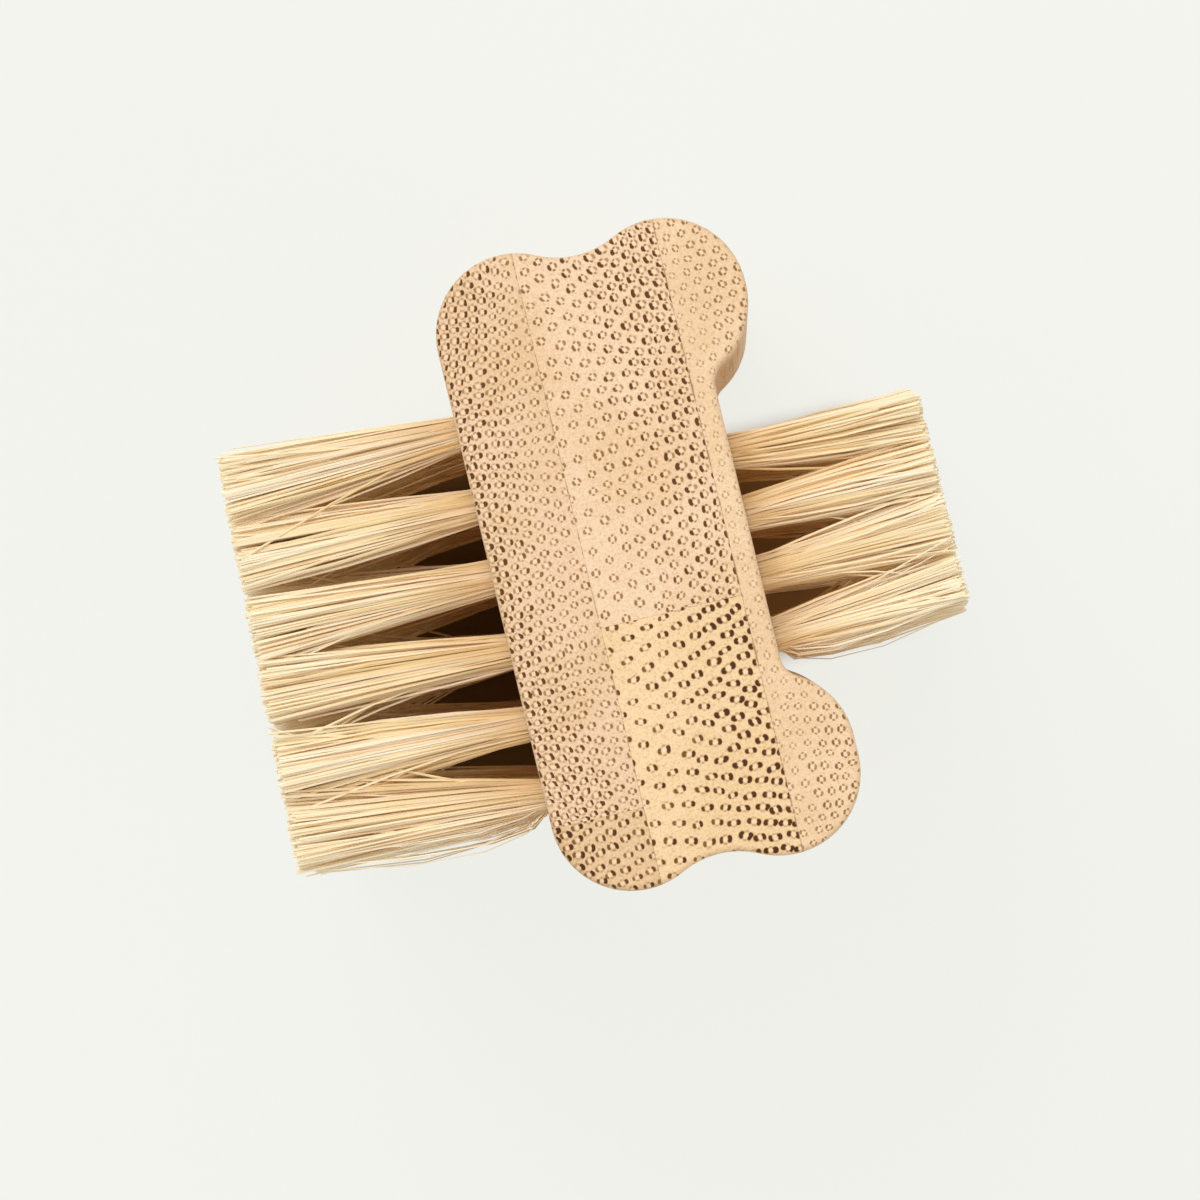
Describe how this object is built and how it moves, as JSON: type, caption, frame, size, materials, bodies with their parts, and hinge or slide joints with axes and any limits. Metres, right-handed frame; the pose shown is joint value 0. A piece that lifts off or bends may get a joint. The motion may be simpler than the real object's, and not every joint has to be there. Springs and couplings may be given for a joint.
{
  "type": "nail brush",
  "caption": "Double-sided nail brush: a bone-shaped laminated bamboo grip with rows of long tufts on its flat side and rows of short tufts in its waist.",
  "frame": {"origin": "middle of the lower sawn end face, on which the brush stands", "axes": "+Z along the block's length; +X through the block from the flat side with long tufts to the waist side with short tufts; +Y across its width"},
  "size_m": [0.0439, 0.04, 0.095],
  "materials": {
    "bamboo_face": "sanded, unvarnished",
    "bamboo_core": "sanded, unvarnished",
    "bamboo_yellow": "sanded, unvarnished",
    "bristle_fibre": "dry plant fibre, straw coloured",
    "anchor_steel": "drawn flat wire"
  },
  "bodies": {
    "root": {"face_strip_wide": "bamboo_face", "face_strip_narrow": "bamboo_yellow", "core_strip_wide": "bamboo_core", "core_strip_narrow": "bamboo_yellow", "waist_strip": "bamboo_core", "long_bristle_row_1": "bristle_fibre", "long_bristle_row_2": "bristle_fibre", "long_bristle_row_3": "bristle_fibre", "long_bristle_row_4": "bristle_fibre", "long_bristle_row_5": "bristle_fibre", "long_bristle_row_6": "bristle_fibre", "short_bristle_row_1": "bristle_fibre", "short_bristle_row_2": "bristle_fibre", "short_bristle_row_3": "bristle_fibre", "short_bristle_row_4": "bristle_fibre", "long_row_anchor_1": "anchor_steel", "long_row_anchor_2": "anchor_steel", "long_row_anchor_3": "anchor_steel", "long_row_anchor_4": "anchor_steel", "long_row_anchor_5": "anchor_steel", "long_row_anchor_6": "anchor_steel", "short_row_anchor_1": "anchor_steel", "short_row_anchor_2": "anchor_steel", "short_row_anchor_3": "anchor_steel", "short_row_anchor_4": "anchor_steel"}
  },
  "joints": []
}
